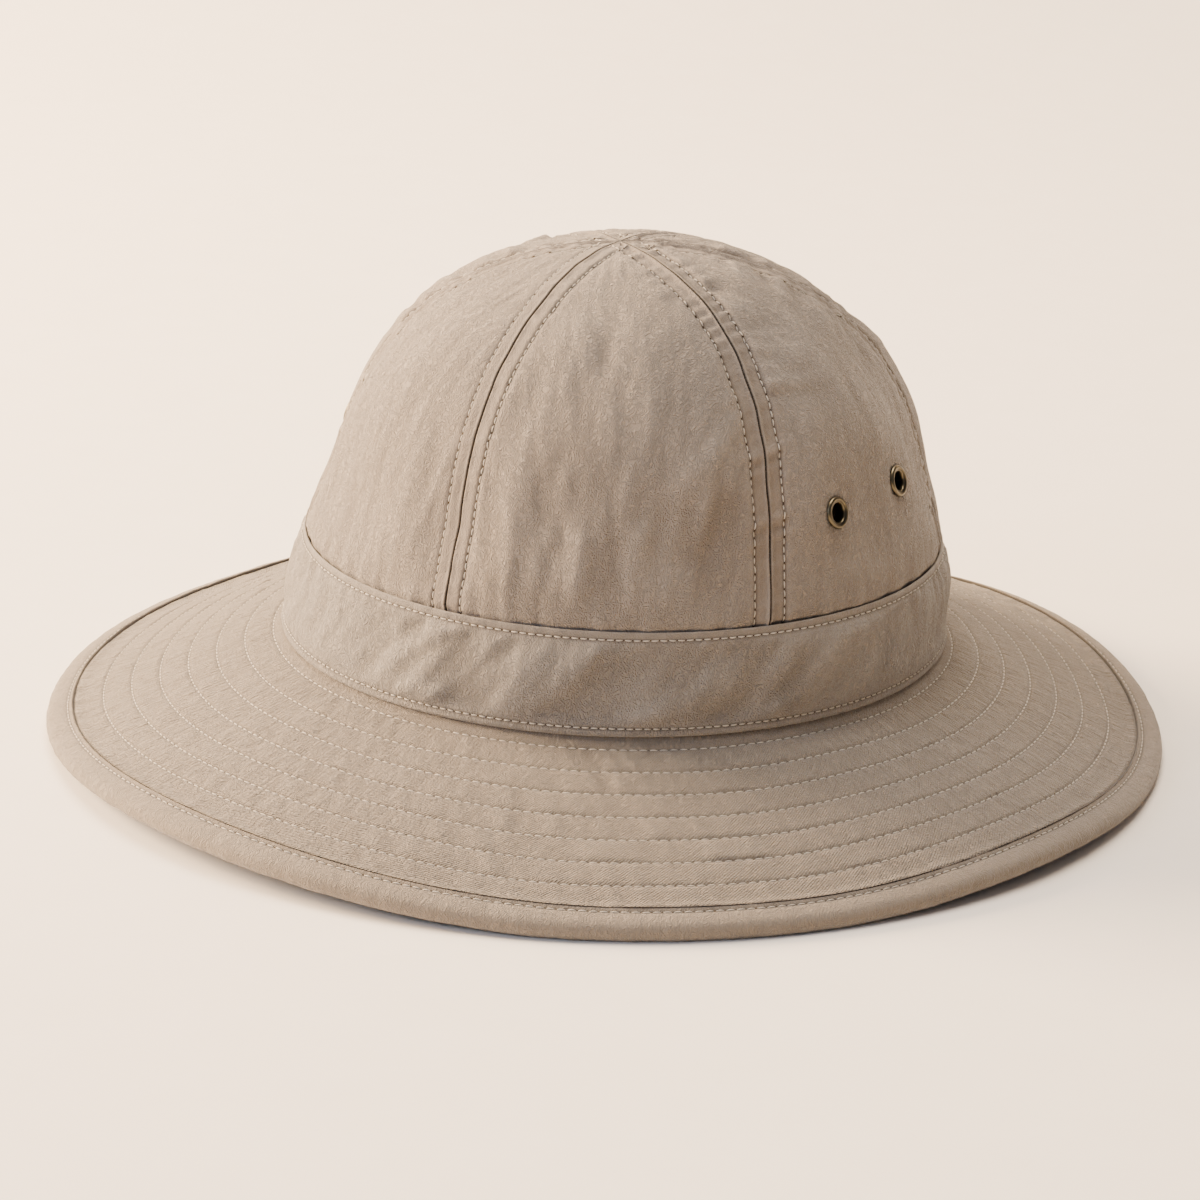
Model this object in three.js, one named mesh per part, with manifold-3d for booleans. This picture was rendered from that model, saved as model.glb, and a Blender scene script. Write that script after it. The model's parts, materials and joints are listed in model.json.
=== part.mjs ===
// A wide-brim sun hat in washed cotton: a crown of six panels, a band round its foot,
// a quilted brim with a bound edge, and a pair of eyelets on each side.
//
// Millimetres, +Z up. The hat rests on its brim edge at z = 0, and the origin lies under
// the middle of that edge. The wearer faces -Y, so +X is the wearer's left. An azimuth is
// an angle round the hat, in degrees: 0 at the front (-Y) and 90 on the wearer's left (+X).
import * as THREE from 'three';
import Module from 'manifold-3d';
import { mergeVertices } from 'three/addons/utils/BufferGeometryUtils.js';

const wasm = await Module();
wasm.setup();

// ---- Driving sizes ----

const GAP = 0.3; // between neighbouring pieces

// Crown, measured on its outer face.
const APEX_HEIGHT = 144.7;
const BAND_TOP_HEIGHT = 59;
const BAND_TOP_RADIUS = 91.3;
const FOOT_HEIGHT = 32.7;
const FOOT_RADIUS = 95;
const CROWN_TAPER = 18.4; // how much the walls draw in by the apex before they round over
const CROWN_SHOULDER = 3.82; // a larger power keeps the walls upright for longer
const CROWN_ROUNDNESS = 1.954; // 2 rounds the top like an ellipse
const SEAM_DIP = 2; // how far a seam lies below the panels beside it
const PANEL_THICKNESS = 1.4;
const APEX_CLIMB = 0.99; // where the panels stop short of the apex

// Crown panels, each from one seam to the next.
const PANELS = [
  { name: 'crown_panel_front_left', start: 0, end: 59 },
  { name: 'crown_panel_side_left', start: 59, end: 114 },
  { name: 'crown_panel_back_left', start: 114, end: 180 },
  { name: 'crown_panel_back_right', start: 180, end: 244 },
  { name: 'crown_panel_side_right', start: 244, end: 305 },
  { name: 'crown_panel_front_right', start: 305, end: 360 },
];

// No seam runs quite straight: how far it swings, in degrees, at the band, halfway up the
// crown and by the apex. The keys are the azimuths where the panels start.
const SEAM_SWAY = {
  0: [0.7, -1.7, -2.4],
  59: [-1, 0.8, 2.6],
  114: [0, 3, 8],
  180: [0, 0, 0],
  244: [0, -2, -3],
  305: [0, 0, 0],
};

// The seams meet a little off the middle of the dome.
const APEX_DRIFT = 3.7;
const APEX_DRIFT_AZIMUTH = 302;
const APEX_DRIFT_REACH = 60;

// Band: an outer strip over the foot of the panels.
const BAND_THICKNESS = 1.5;
const BAND_FOOT_HEIGHT = 31.3;
const BAND_LIP_HEIGHT = 59.8;
const BAND_LIP_ROUNDING = 0.4;

// Brim: the middle of its thickness, from the band out to the middle of its edge.
const BRIM_LINE = [
  { radius: 93.2, height: 31.2 },
  { radius: 98.3, height: 27.6 },
  { radius: 104.5, height: 24.9 },
  { radius: 122, height: 17.8 },
  { radius: 146.4, height: 8 },
  { radius: 160, height: 2.5 },
];
const BRIM_THICKNESS = 2.4;

// Binding: folded cloth round the brim's edge.
const BINDING_WALL = 1;
const BINDING_WIDTH = 5.8; // of its flat lips, from the middle of the edge inwards

// Places where the brim's edge lifts off the surface that the hat lies on.
const LIFTS = [
  { azimuth: -13, halfWidth: 48, height: 5.5 },
  { azimuth: 81, halfWidth: 30, height: 3 },
  { azimuth: 155, halfWidth: 42, height: 4.5 },
  { azimuth: 234, halfWidth: 33, height: 3 },
];

// The crown's middle stands a little off the middle of the brim's edge.
const LEAN = 5.5;
const LEAN_HEIGHT = 105; // where the lean is largest
const LEAN_AZIMUTH = 122;

// Eyelets, through the side panels. A climb is what crownProfile takes.
const EYELET_RADIUS = 4.5;
const EYELET_BARREL_RADIUS = 3.3;
const EYELET_HOLE_RADIUS = 2.7;
const EYELET_FLANGE = 0.7;
const EYELET_ROUNDING = 0.35;
const EYELETS = [
  { name: 'eyelet_left_front', panel: 'crown_panel_side_left', azimuth: 73.8, climb: 0.172 },
  { name: 'eyelet_left_back', panel: 'crown_panel_side_left', azimuth: 93.8, climb: 0.189 },
  { name: 'eyelet_right_front', panel: 'crown_panel_side_right', azimuth: 286.2, climb: 0.172 },
  { name: 'eyelet_right_back', panel: 'crown_panel_side_right', azimuth: 266.2, climb: 0.189 },
];

// Fineness of the facets.
const RING_STEPS = 64;
const PANEL_COLUMNS = 10;
const PANEL_ROWS_ABOVE = 10;
const PANEL_ROWS_BELOW = 2;
const BRIM_STEPS = 8;
const EYELET_STEPS = 16;

// ---- Materials ----

const CLOTH = { roughness: 0.95, metalness: 0 };
const panelCloth = () => new THREE.MeshStandardMaterial({ color: 0xa89a8a, ...CLOTH });
const bandCloth = () => new THREE.MeshStandardMaterial({ color: 0xa39585, ...CLOTH });
const brimCloth = () => new THREE.MeshStandardMaterial({ color: 0xa09282, ...CLOTH });
const bindingCloth = () => new THREE.MeshStandardMaterial({ color: 0x998b7c, ...CLOTH });
const brass = () => new THREE.MeshStandardMaterial({ color: 0x8a764a, roughness: 0.4, metalness: 1 });

// ---- The shared form ----

const radians = THREE.MathUtils.degToRad;

// How far the brim's edge is lifted at an azimuth.
function liftAt(azimuth) {
  let total = 0;
  for (const lift of LIFTS) {
    const away = THREE.MathUtils.euclideanModulo(azimuth - lift.azimuth + 180, 360) - 180;
    if (Math.abs(away) < lift.halfWidth) {
      total += (lift.height * (1 + Math.cos((Math.PI * away) / lift.halfWidth))) / 2;
    }
  }
  return total;
}

// A point of the hat at an azimuth. edgeShare is 1 on the brim's edge, which takes the lifts,
// and 0 at the band and above.
function hatPoint(radius, height, azimuth, edgeShare = 0) {
  const angle = radians(azimuth);
  const leanAngle = radians(LEAN_AZIMUTH);
  const offset = (height - LEAN_HEIGHT) / LEAN_HEIGHT;
  const lean = LEAN * Math.max(0, 1 - offset * offset) ** 1.5;
  const x = lean * Math.sin(leanAngle) + radius * Math.sin(angle);
  const y = -lean * Math.cos(leanAngle) - radius * Math.cos(angle);
  return new THREE.Vector3(x, y, height + liftAt(azimuth) * edgeShare);
}

// ---- Solids from rings and shells ----

function solidGeometry(points, triangles) {
  const geometry = new THREE.BufferGeometry().setFromPoints(points);
  geometry.setIndex(triangles);
  return geometry;
}

// A closed ring: section(azimuth) gives its outline, counter-clockwise with the radius to
// the right and the height up.
function ringGeometry(section) {
  const points = [];
  for (let step = 0; step < RING_STEPS; step++) {
    points.push(...section((360 * step) / RING_STEPS));
  }
  const count = points.length / RING_STEPS;
  const triangles = [];
  for (let step = 0; step < RING_STEPS; step++) {
    const here = step * count;
    const next = ((step + 1) % RING_STEPS) * count;
    for (let side = 0; side < count; side++) {
      const other = (side + 1) % count;
      triangles.push(here + side, next + side, next + other);
      triangles.push(here + side, next + other, here + other);
    }
  }
  return solidGeometry(points, triangles);
}

// A closed shell between two grids of points, facing the outer grid's way. point(column, row,
// depth) gives the grids at depth 0 and at depth thickness.
function shellGeometry(columns, rows, thickness, point) {
  const points = [];
  for (const depth of [0, thickness]) {
    for (let row = 0; row <= rows; row++) {
      for (let column = 0; column <= columns; column++) {
        points.push(point(column, row, depth));
      }
    }
  }
  const layer = (columns + 1) * (rows + 1);
  const at = (column, row) => row * (columns + 1) + column;
  const triangles = [];
  for (let row = 0; row < rows; row++) {
    for (let column = 0; column < columns; column++) {
      const [a, b] = [at(column, row), at(column + 1, row)];
      const [c, d] = [at(column + 1, row + 1), at(column, row + 1)];
      triangles.push(a, b, c, a, c, d);
      triangles.push(layer + a, layer + c, layer + b, layer + a, layer + d, layer + c);
    }
  }
  const rim = [];
  for (let column = 0; column < columns; column++) rim.push(at(column, 0));
  for (let row = 0; row < rows; row++) rim.push(at(columns, row));
  for (let column = columns; column > 0; column--) rim.push(at(column, rows));
  for (let row = rows; row > 0; row--) rim.push(at(0, row));
  rim.forEach((a, index) => {
    const b = rim[(index + 1) % rim.length];
    triangles.push(a, layer + a, layer + b, a, layer + b, b);
  });
  return solidGeometry(points, triangles);
}

// Points on an arc about the origin of a section, between two angles in degrees.
function arc(radius, from, to, steps) {
  const points = [];
  for (let step = 0; step <= steps; step++) {
    const angle = radians(from + ((to - from) * step) / steps);
    points.push([radius * Math.cos(angle), radius * Math.sin(angle)]);
  }
  return points;
}

// ---- Crown panels ----

// Radius and height of the crown's outer face. A climb of 0 to 1 runs from the band's top to
// the apex, and -1 to 0 from the foot of the panels to the band's top.
function crownProfile(climb) {
  if (climb < 0) {
    return {
      radius: BAND_TOP_RADIUS - climb * (FOOT_RADIUS - BAND_TOP_RADIUS),
      height: BAND_TOP_HEIGHT + climb * (BAND_TOP_HEIGHT - FOOT_HEIGHT),
      share: 0,
    };
  }
  const share = 1 - (1 - climb) ** 2;
  const round = (1 - share ** CROWN_SHOULDER) ** (1 / CROWN_ROUNDNESS);
  return {
    radius: (BAND_TOP_RADIUS - CROWN_TAPER * share) * round,
    height: BAND_TOP_HEIGHT + (APEX_HEIGHT - BAND_TOP_HEIGHT) * share,
    share,
  };
}

// Height of the dome at a distance from its middle.
function domeHeight(radius) {
  let [low, high] = [0, 1];
  for (let halving = 0; halving < 40; halving++) {
    const climb = (low + high) / 2;
    if (crownProfile(climb).radius > radius) low = climb;
    else high = climb;
  }
  return crownProfile(low).height;
}

// Slides a point over the dome towards where the seams meet.
function driftSeams(azimuth, radius) {
  const slide = APEX_DRIFT * (1 - THREE.MathUtils.smoothstep(radius, 0, APEX_DRIFT_REACH));
  const [angle, way] = [radians(azimuth), radians(APEX_DRIFT_AZIMUTH)];
  const x = radius * Math.sin(angle) + slide * Math.sin(way);
  const y = radius * Math.cos(angle) + slide * Math.cos(way);
  return { azimuth: THREE.MathUtils.radToDeg(Math.atan2(x, y)), radius: Math.hypot(x, y) };
}

// Azimuths of a panel's two seams at a share of the crown's height.
function seamsOf(panel, share) {
  return [panel.start, panel.end].map((seam) => {
    const [foot, middle, top] = SEAM_SWAY[seam % 360];
    const low = foot * (1 - share) * (1 - 2 * share);
    return seam + low + middle * 4 * share * (1 - share) + top * share * (2 * share - 1);
  });
}

// A point on a panel's outer face. across runs from -1 at one seam to 1 at the next.
function panelFace(panel, across, climb) {
  const { radius, height, share } = crownProfile(climb);
  const [start, end] = seamsOf(panel, share);
  const dip = SEAM_DIP * across ** 4 * Math.min(1, 4 * share) * (1 - share ** 4);
  const seamInset = THREE.MathUtils.radToDeg(Math.asin(GAP / 2 / radius));
  const azimuth = (start + end) / 2 + across * ((end - start) / 2 - seamInset);
  const drifted = driftSeams(azimuth, radius);
  const drifts = radius < APEX_DRIFT_REACH;
  return hatPoint(
    drifted.radius - dip,
    drifts ? domeHeight(drifted.radius) : height,
    drifted.azimuth,
  );
}

// The way out of a panel's outer face, from its slopes there.
function panelNormal(panel, across, climb) {
  const step = 0.001;
  const up = panelFace(panel, across, climb + step).sub(panelFace(panel, across, climb - step));
  const round = panelFace(panel, across + step, climb).sub(panelFace(panel, across - step, climb));
  return round.cross(up).normalize();
}

function panelGeometry(panel) {
  const rows = PANEL_ROWS_BELOW + PANEL_ROWS_ABOVE;
  return shellGeometry(PANEL_COLUMNS, rows, PANEL_THICKNESS, (column, row, depth) => {
    const across = (2 * column) / PANEL_COLUMNS - 1;
    const above = row - PANEL_ROWS_BELOW;
    const climb = above < 0 ? above / PANEL_ROWS_BELOW : (APEX_CLIMB * above) / PANEL_ROWS_ABOVE;
    const inward = panelNormal(panel, across, climb).multiplyScalar(-depth);
    return panelFace(panel, across, climb).add(inward);
  });
}

// ---- Eyelets ----

function toManifold(geometry) {
  const bare = geometry.clone();
  bare.deleteAttribute('normal');
  bare.deleteAttribute('uv');
  const merged = mergeVertices(bare, 1e-5);
  return new wasm.Manifold(
    new wasm.Mesh({
      numProp: 3,
      vertProperties: new Float32Array(merged.attributes.position.array),
      triVerts: new Uint32Array(merged.index.array),
    }),
  );
}

function fromManifold(manifold) {
  const mesh = manifold.getMesh();
  const geometry = new THREE.BufferGeometry();
  geometry.setAttribute('position', new THREE.BufferAttribute(mesh.vertProperties, 3));
  geometry.setIndex(new THREE.BufferAttribute(mesh.triVerts, 1));
  return geometry;
}

// Where an eyelet sits on its panel's outer face, with its local +Y pointing out of the cloth.
function eyeletPlace(eyelet) {
  const panel = PANELS.find((each) => each.name === eyelet.panel);
  const [start, end] = seamsOf(panel, crownProfile(eyelet.climb).share);
  const across = (eyelet.azimuth - (start + end) / 2) / ((end - start) / 2);
  const out = panelNormal(panel, across, eyelet.climb);
  const turn = new THREE.Quaternion().setFromUnitVectors(new THREE.Vector3(0, 1, 0), out);
  return { point: panelFace(panel, across, eyelet.climb), turn };
}

// The rolled rim outside, the barrel through the cloth and the washer inside, as one ring.
function eyeletGeometry() {
  const top = GAP + EYELET_FLANGE;
  const inside = -PANEL_THICKNESS - 2 * GAP; // the washer is flat and the cloth behind it is not
  const bottom = inside - EYELET_FLANGE;
  const outline = [
    [EYELET_HOLE_RADIUS, bottom],
    [EYELET_RADIUS, bottom],
    [EYELET_RADIUS, inside],
    [EYELET_BARREL_RADIUS, inside],
    [EYELET_BARREL_RADIUS, GAP],
    [EYELET_RADIUS, GAP],
    [EYELET_RADIUS, top - EYELET_ROUNDING],
    [EYELET_RADIUS - EYELET_ROUNDING, top],
    [EYELET_HOLE_RADIUS + EYELET_ROUNDING, top],
    [EYELET_HOLE_RADIUS, top - EYELET_ROUNDING],
    [EYELET_HOLE_RADIUS, bottom],
  ];
  const points = outline.map(([radius, height]) => new THREE.Vector2(radius, height));
  return new THREE.LatheGeometry(points, EYELET_STEPS);
}

function eyeletHole(eyelet) {
  const { point, turn } = eyeletPlace(eyelet);
  const radius = EYELET_BARREL_RADIUS + GAP;
  const hole = new THREE.CylinderGeometry(radius, radius, 6 * PANEL_THICKNESS, EYELET_STEPS);
  hole.applyQuaternion(turn);
  hole.translate(point.x, point.y, point.z);
  return hole;
}

function crownPanels() {
  return PANELS.map((panel) => {
    let solid = toManifold(panelGeometry(panel));
    for (const eyelet of EYELETS.filter((each) => each.panel === panel.name)) {
      solid = solid.subtract(toManifold(eyeletHole(eyelet)));
    }
    return named(panel.name, fromManifold(solid), panelCloth());
  });
}

function eyelets() {
  return EYELETS.map((eyelet) => {
    const { point, turn } = eyeletPlace(eyelet);
    const mesh = named(eyelet.name, eyeletGeometry(), brass());
    mesh.position.copy(point);
    mesh.quaternion.copy(turn);
    return mesh;
  });
}

// ---- Band ----

function bandGeometry() {
  const slope = (FOOT_RADIUS - BAND_TOP_RADIUS) / (BAND_TOP_HEIGHT - FOOT_HEIGHT);
  const inner = (height) => BAND_TOP_RADIUS + GAP + (BAND_TOP_HEIGHT - height) * slope;
  const outer = (height) => inner(height) + BAND_THICKNESS;
  const middle = (BAND_FOOT_HEIGHT + BAND_LIP_HEIGHT) / 2;
  const shoulder = BAND_LIP_HEIGHT - BAND_LIP_ROUNDING;
  const ankle = BAND_FOOT_HEIGHT + BAND_LIP_ROUNDING;
  const outline = [
    [inner(BAND_FOOT_HEIGHT), BAND_FOOT_HEIGHT],
    [outer(BAND_FOOT_HEIGHT) - BAND_LIP_ROUNDING, BAND_FOOT_HEIGHT],
    [outer(ankle), ankle],
    [outer(middle), middle],
    [outer(shoulder), shoulder],
    [outer(BAND_LIP_HEIGHT) - BAND_LIP_ROUNDING, BAND_LIP_HEIGHT],
    [inner(BAND_LIP_HEIGHT), BAND_LIP_HEIGHT],
    [inner(middle), middle],
  ];
  return ringGeometry((azimuth) =>
    outline.map(([radius, height]) => hatPoint(radius, height, azimuth)),
  );
}

// ---- Brim and its binding ----

const brimCurve = new THREE.SplineCurve(
  BRIM_LINE.map(({ radius, height }) => new THREE.Vector2(radius, height)),
);
const BRIM_LENGTH = brimCurve.getLength();

// A point of the brim or its binding, by the distance out along the brim's middle line from
// the middle of its edge (negative towards the band) and the distance above that line.
function brimPoint(along, above, azimuth) {
  const place = THREE.MathUtils.clamp(1 + along / BRIM_LENGTH, 0, 1);
  const middle = brimCurve.getPointAt(place);
  const way = brimCurve.getTangentAt(place);
  const beyond = Math.max(0, along);
  const radius = middle.x + way.x * beyond - way.y * above;
  const height = middle.y + way.y * beyond + way.x * above;
  return hatPoint(radius, height, azimuth, THREE.MathUtils.smoothstep(place, 0, 1));
}

function brimGeometry() {
  const half = BRIM_THICKNESS / 2;
  const outline = arc(half, -90, 90, 4);
  for (let step = 1; step <= BRIM_STEPS; step++) {
    outline.push([(-BRIM_LENGTH * step) / BRIM_STEPS, half]);
  }
  for (let step = BRIM_STEPS; step > 0; step--) {
    outline.push([(-BRIM_LENGTH * step) / BRIM_STEPS, -half]);
  }
  return ringGeometry((azimuth) =>
    outline.map(([along, above]) => brimPoint(along, above, azimuth)),
  );
}

function bindingGeometry() {
  const inner = BRIM_THICKNESS / 2 + GAP;
  const outer = inner + BINDING_WALL;
  const outline = [
    [-BINDING_WIDTH, -outer],
    ...arc(outer, -90, 90, 6),
    [-BINDING_WIDTH, outer],
    [-BINDING_WIDTH, inner],
    ...arc(inner, 90, -90, 4),
    [-BINDING_WIDTH, -inner],
  ];
  return ringGeometry((azimuth) =>
    outline.map(([along, above]) => brimPoint(along, above, azimuth)),
  );
}

// ---- Assembly ----

function named(name, geometry, material) {
  const mesh = new THREE.Mesh(geometry, material);
  mesh.name = name;
  return mesh;
}

const hat = new THREE.Group();
hat.add(...crownPanels());
hat.add(...eyelets());
hat.add(named('crown_band', bandGeometry(), bandCloth()));
hat.add(named('brim', brimGeometry(), brimCloth()));
hat.add(named('brim_binding', bindingGeometry(), bindingCloth()));

export default hat;
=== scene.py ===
"""A wide-brim sun hat in washed cotton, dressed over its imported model.

The cloth pieces follow the same form as the solids they stand for. Lengths inside the
script are millimetres, and each mesh is written in metres. An azimuth is an angle round
the hat in degrees: 0 at the front (-Y), 90 on the wearer's left (+X).
"""

import json
import math

import bmesh
import bpy
import numpy as np
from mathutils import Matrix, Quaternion, Vector, noise

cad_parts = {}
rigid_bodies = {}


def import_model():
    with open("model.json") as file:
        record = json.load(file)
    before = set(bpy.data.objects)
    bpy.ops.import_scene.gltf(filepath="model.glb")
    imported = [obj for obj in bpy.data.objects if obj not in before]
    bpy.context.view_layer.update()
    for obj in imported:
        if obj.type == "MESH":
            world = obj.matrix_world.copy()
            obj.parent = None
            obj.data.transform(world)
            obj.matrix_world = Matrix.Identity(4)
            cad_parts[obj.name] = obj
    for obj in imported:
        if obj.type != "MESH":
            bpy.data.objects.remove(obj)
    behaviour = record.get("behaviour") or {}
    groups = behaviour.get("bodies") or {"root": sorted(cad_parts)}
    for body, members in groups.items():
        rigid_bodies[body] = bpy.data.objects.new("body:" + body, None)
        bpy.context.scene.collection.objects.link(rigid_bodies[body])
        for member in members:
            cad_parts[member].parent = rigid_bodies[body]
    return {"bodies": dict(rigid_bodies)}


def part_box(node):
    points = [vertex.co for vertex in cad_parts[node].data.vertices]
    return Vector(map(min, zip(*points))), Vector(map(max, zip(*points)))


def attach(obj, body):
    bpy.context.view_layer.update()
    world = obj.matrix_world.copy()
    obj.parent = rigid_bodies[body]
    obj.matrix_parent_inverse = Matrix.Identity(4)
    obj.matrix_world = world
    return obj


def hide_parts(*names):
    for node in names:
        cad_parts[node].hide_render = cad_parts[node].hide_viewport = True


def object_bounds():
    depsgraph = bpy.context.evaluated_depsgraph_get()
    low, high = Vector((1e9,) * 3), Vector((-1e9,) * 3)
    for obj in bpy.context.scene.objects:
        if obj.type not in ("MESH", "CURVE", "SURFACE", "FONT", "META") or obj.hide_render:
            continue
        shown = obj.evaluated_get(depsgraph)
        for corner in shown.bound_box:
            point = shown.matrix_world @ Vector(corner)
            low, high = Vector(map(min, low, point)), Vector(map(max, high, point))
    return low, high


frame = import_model()
CAD_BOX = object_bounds()
BODY = next(iter(frame["bodies"]))
MM = 0.001


def height_range(node):
    """Lowest and highest z of a solid, in millimetres."""
    low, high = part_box(node)
    return low[2] / MM, high[2] / MM


# ---- Driving sizes ----

# Crown, measured on its outer face.
BAND_TOP_HEIGHT = 59
BAND_TOP_RADIUS = 91.3
FOOT_HEIGHT = 32.7
FOOT_RADIUS = 95
APEX_HEIGHT = CAD_BOX[1][2] / MM
CROWN_TAPER = 18.4  # how far its walls lean in on the way up
CROWN_SHOULDER = 3.82  # how high its dome starts to round over
CROWN_ROUNDNESS = 1.954  # how full the dome is, 2 for an ellipse
SEAM_DIP = 2  # how far the cloth dips towards a seam
CLOTH_THICKNESS = 0.8
SEAM_GAP = 0.2  # between two panels where they turn down into their seam
TURN_IN_HEIGHT = 40  # of the point in the hat that their edges turn towards

PANELS = {
    "front_left": (0, 59),
    "side_left": (59, 114),
    "back_left": (114, 180),
    "back_right": (180, 244),
    "side_right": (244, 305),
    "front_right": (305, 360),
}

# No seam runs quite straight: how far it swings, in degrees, at the band, halfway up the
# crown and by the apex.
SEAM_SWAY = {
    0: (0.7, -1.7, -2.4),
    59: (-1, 0.8, 2.6),
    114: (0, 3, 8),
    180: (0, 0, 0),
    244: (0, -2, -3),
    305: (0, 0, 0),
}

# The seams meet a little off the middle of the dome, and drift there within this radius.
APEX_DRIFT = 3.7
APEX_DRIFT_AZIMUTH = 302
APEX_DRIFT_REACH = 60

# Band.
BAND_FOOT_HEIGHT, BAND_LIP_HEIGHT = height_range("crown_band")
BAND_THICKNESS = 1.5
BAND_GAP = 0.3

# Brim: radius and height of the middle of its thickness, from the band to its edge.
BRIM_LINE = (
    (93.2, 31.2),
    (98.3, 27.6),
    (104.5, 24.9),
    (122, 17.8),
    (146.4, 8),
    (160, 2.5),
)
BRIM_THICKNESS = 2.4
BINDING_INNER = 1.5  # half the space inside its fold
BINDING_OUTER = 2.5  # half its thickness outside
BINDING_WIDTH = 5.8

# Mean radii, on which the patterns that run round the hat are laid out.
BAND_RADIUS = 93
BRIM_RADIUS = 125
EDGE_RADIUS = BRIM_LINE[-1][0]

# Where the brim's edge lifts: azimuth, half the lift's width in degrees, and its height.
LIFTS = ((-13, 48, 5.5), (81, 30, 3), (155, 42, 4.5), (234, 33, 3))

# The crown leans to the back left, most at this height and not at all at the surface that
# the hat rests on.
LEAN = 5.5
LEAN_HEIGHT = 105
LEAN_AZIMUTH = 122

# Eyelets: the panel, azimuth and climb of each. A climb goes from 0 at the band's top to
# 1 at the apex, and gains height ever more slowly.
EYELETS = {
    "left_front": ("side_left", 73.8, 0.172),
    "left_back": ("side_left", 93.8, 0.189),
    "right_front": ("side_right", 286.2, 0.172),
    "right_back": ("side_right", 266.2, 0.189),
}
EYELET_TURN = {"left_front": 12}  # degrees that a pulled fold turns it towards the back
EYELET_RADIUS = 4.5
EYELET_HOLE_RADIUS = 2.7
EYELET_CUT_RADIUS = 3.7  # of the hole in the cloth, under the rim

# Sewing.
SEAM_ROW = 4.4  # from a crown seam to the topstitching beside it
BAND_TOP_ROW = 2.2  # below the band's lip
BAND_FOOT_ROW = 2.3  # above the band's foot
QUILT_ROWS = (98.9, 106.85, 114.8, 122.75, 130.7, 138.65, 146.6)  # radius on the brim's upper face
BINDING_ROW = 1.4  # outside the binding's inner edge
SEAM_PITCH = 2.4
BRIM_PITCH = 2.75
THREAD_RISE = 0.1  # of the middle of a stitch above the cloth
QUILT_THREAD_RISE = 0.08


# ---- The hat's form, as in its solids ----


def blend(low, high, value):
    """0 below low, 1 above high, and a smooth rise between."""
    share = np.clip((value - low) / (high - low), 0, 1)
    return share * share * (3 - 2 * share)


def turn_between(azimuth, other):
    """Degrees from one azimuth to another, 0 to 180."""
    return np.abs((azimuth - other + 180) % 360 - 180)


def lift_at(azimuth):
    """How far the brim's edge lifts off the surface that the hat rests on."""
    total = 0
    for middle, half_width, height in LIFTS:
        away = turn_between(azimuth, middle)
        inside = away < half_width
        total = total + inside * height * (1 + np.cos(np.pi * away / half_width)) / 2
    return total


def hat_point(radius, height, azimuth, edge_share=0):
    """A point by its place round the leaning hat. It takes the edge's lift by edge_share,
    0 to 1."""
    angle = np.radians(azimuth)
    lean_angle = math.radians(LEAN_AZIMUTH)
    offset = (height - LEAN_HEIGHT) / LEAN_HEIGHT
    lean = LEAN * np.maximum(0, 1 - offset**2) ** 1.5
    x = lean * math.sin(lean_angle) + radius * np.sin(angle)
    y = -lean * math.cos(lean_angle) - radius * np.cos(angle)
    return np.stack([x, y, height + lift_at(azimuth) * edge_share], axis=-1)


def crown_profile(climb):
    """Radius, height and share of the crown's height; a climb below 0 is under the band."""
    share = 1 - (1 - np.clip(climb, 0, 1)) ** 2
    rounding = (1 - share**CROWN_SHOULDER) ** (1 / CROWN_ROUNDNESS)
    below = np.minimum(climb, 0)
    radius = (BAND_TOP_RADIUS - CROWN_TAPER * share) * rounding
    height = BAND_TOP_HEIGHT + (APEX_HEIGHT - BAND_TOP_HEIGHT) * share
    radius = radius - below * (FOOT_RADIUS - BAND_TOP_RADIUS)
    height = height + below * (BAND_TOP_HEIGHT - FOOT_HEIGHT)
    return radius, height, share


def run_of(across, along):
    """Distance run along a line, from its first point."""
    return np.concatenate([[0], np.cumsum(np.hypot(np.diff(across), np.diff(along)))])


CLIMBS = np.linspace(-1, 1, 4001)
CROWN_RUN = run_of(*crown_profile(CLIMBS)[:2])
CROWN_RUN -= np.interp(0, CLIMBS, CROWN_RUN)
CROWN_LENGTH = CROWN_RUN[-1]
DOME_RADII, DOME_HEIGHTS = crown_profile(np.linspace(0, 1, 2001))[:2]


def drift_seams(azimuth, radius):
    """Slides a point over the dome towards where the seams meet."""
    angle, way = np.radians(azimuth), math.radians(APEX_DRIFT_AZIMUTH)
    slide = APEX_DRIFT * (1 - blend(0, APEX_DRIFT_REACH, radius))
    x = radius * np.sin(angle) + slide * math.sin(way)
    y = radius * np.cos(angle) + slide * math.cos(way)
    return np.degrees(np.arctan2(x, y)), np.hypot(x, y)


def seams_of(panel, share):
    """Azimuths of a panel's two seams at a share of the crown's height."""
    seams = []
    for seam in PANELS[panel]:
        foot, middle, top = SEAM_SWAY[seam % 360]
        sway = foot * (1 - share) * (1 - 2 * share) + middle * 4 * share * (1 - share)
        seams.append(seam + sway + top * share * (2 * share - 1))
    return seams


def lumps(points, size, seed):
    """Smooth random heights, about -1 to 1, with lumps as large as size: one number, or
    one for each direction. Each seed looks at another part of the noise."""
    shifted = points / np.asarray(size, dtype=float) + seed * 7.31
    return np.array([noise.noise(Vector(point)) for point in shifted]) * 1.4


WANDER_RUN = np.arange(0, 200.0)


def seam_wander(seam):
    """How far a seam strays aside at each millimetre of its length."""
    line = np.stack([WANDER_RUN, 0 * WANDER_RUN, 0 * WANDER_RUN + seam], axis=-1)
    return 0.3 * lumps(line, 9, 6)


SEAM_WANDER = {seam: seam_wander(seam) for seam in SEAM_SWAY}


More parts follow.
